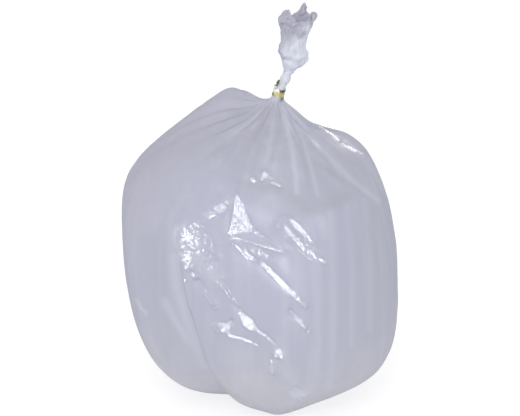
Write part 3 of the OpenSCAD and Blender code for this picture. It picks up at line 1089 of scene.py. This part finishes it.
def floor_material():
    """A pale floor. What the camera, gloss and clear film see of it is lifted to white. Its shadow stays."""
    material, nodes, links = new_material("floor")
    output = nodes.new("ShaderNodeOutputMaterial")
    plain = node(nodes, links, "ShaderNodeBsdfDiffuse", Color=FLOOR_COLOUR)
    seen = node(nodes, links, "ShaderNodeBsdfDiffuse", Color=SEEN_FLOOR_COLOUR)
    lift = node(nodes, links, "ShaderNodeEmission", Strength=SEEN_FLOOR_LIFT)
    both = node(nodes, links, "ShaderNodeAddShader", _0=seen.outputs[0], _1=lift.outputs[0])
    mix = node(nodes, links, "ShaderNodeMixShader", Fac=seen_by_camera(nodes, links), _1=plain.outputs[0],
               _2=both.outputs[0])
    links.new(mix.outputs[0], output.inputs["Surface"])
    return material


def seen_by_camera(nodes, links):
    """1 for what the camera sees directly, in gloss or through clear film, and 0 for what lights the bag."""
    path = nodes.new("ShaderNodeLightPath")
    total = path.outputs["Is Camera Ray"]
    for name in ("Is Glossy Ray", "Is Transmission Ray"):
        total = math_node(nodes, links, "MAXIMUM", total, path.outputs[name])
    return total


def add_floor():
    mesh = bpy.data.meshes.new("floor")
    corners = [(-FLOOR_REACH, -FLOOR_REACH, 0), (FLOOR_REACH, -FLOOR_REACH, 0),
               (FLOOR_REACH, FLOOR_REACH, 0), (-FLOOR_REACH, FLOOR_REACH, 0)]
    mesh.from_pydata(corners, [], [(0, 1, 2, 3)])
    floor = link("floor", mesh)
    floor.location.z = -FLOOR_DROP
    mesh.materials.append(floor_material())


# The soft light comes from all around, weakest from behind and strongest from this direction
SOFT_LIGHT_FROM = (-0.15, -0.76, 0.63)
SOFT_LIGHT_RANGE = (0.385, 0.88)
WHITE = (1, 1, 1, 1)


def add_world():
    world = bpy.data.worlds.new("studio")
    bpy.context.scene.world = world
    world.use_nodes = True
    nodes, links = world.node_tree.nodes, world.node_tree.links
    nodes.clear()
    output = nodes.new("ShaderNodeOutputWorld")
    direction = nodes.new("ShaderNodeTexCoord").outputs["Generated"]
    towards = nodes.new("ShaderNodeVectorMath")
    towards.operation = "DOT_PRODUCT"
    towards.inputs[1].default_value = SOFT_LIGHT_FROM
    links.new(direction, towards.inputs[0])
    strength = ramp(nodes, links, towards.outputs["Value"], -0.3, 0.95, *SOFT_LIGHT_RANGE)
    light = node(nodes, links, "ShaderNodeBackground", Strength=strength, Color=WHITE)
    white = node(nodes, links, "ShaderNodeBackground", Strength=1.0, Color=WHITE)
    mix = node(nodes, links, "ShaderNodeMixShader", Fac=seen_by_camera(nodes, links), _1=light.outputs[0],
               _2=white.outputs[0])
    links.new(mix.outputs[0], output.inputs["Surface"])


def add_area(name, place, size, power):
    """A square lamp that points at the bag."""
    data = bpy.data.lights.new(name, "AREA")
    data.shape = "SQUARE"
    data.size = size
    data.energy = power
    lamp = bpy.data.objects.new(name, data)
    away = Vector(place) - Vector(CAMERA_TARGET)
    lamp.location = Vector(place)
    lamp.rotation_euler = away.to_track_quat("Z", "Y").to_euler()
    bpy.context.scene.collection.objects.link(lamp)
    return lamp


def around(azimuth, elevation, distance):
    """A place seen from the bag. Azimuth 0 is the front and 90 the right."""
    a, e = math.radians(azimuth), math.radians(elevation)
    direction = np.array([math.sin(a) * math.cos(e), -math.cos(a) * math.cos(e), math.sin(e)])
    return CAMERA_TARGET + distance * direction


# The large lamp's azimuth, elevation and distance, its size in metres and its power in watts
KEY_AT = around(-20, 48, 3.6)
KEY_SIZE, KEY_POWER = 3.0, 17
# Each small lamp that the film mirrors has its name, number, size and power
SPARKS = [
    ("high_spark", HIGH, 0.30, 6),
    ("side_spark", SIDE, 0.24, 2),
    ("right_spark", RIGHT, 0.24, 5),
    ("low_spark", LOW, 0.30, 7),
    ("left_spark", LEFT, 0.26, 6),
]

add_floor()
add_world()
key = add_area("key", KEY_AT, KEY_SIZE, KEY_POWER)
key.visible_glossy = False
for name, number, lamp_size, power in SPARKS:
    add_area(name, SPARKS_AT[number], lamp_size, power)

bpy.context.scene.view_settings.view_transform = "Standard"
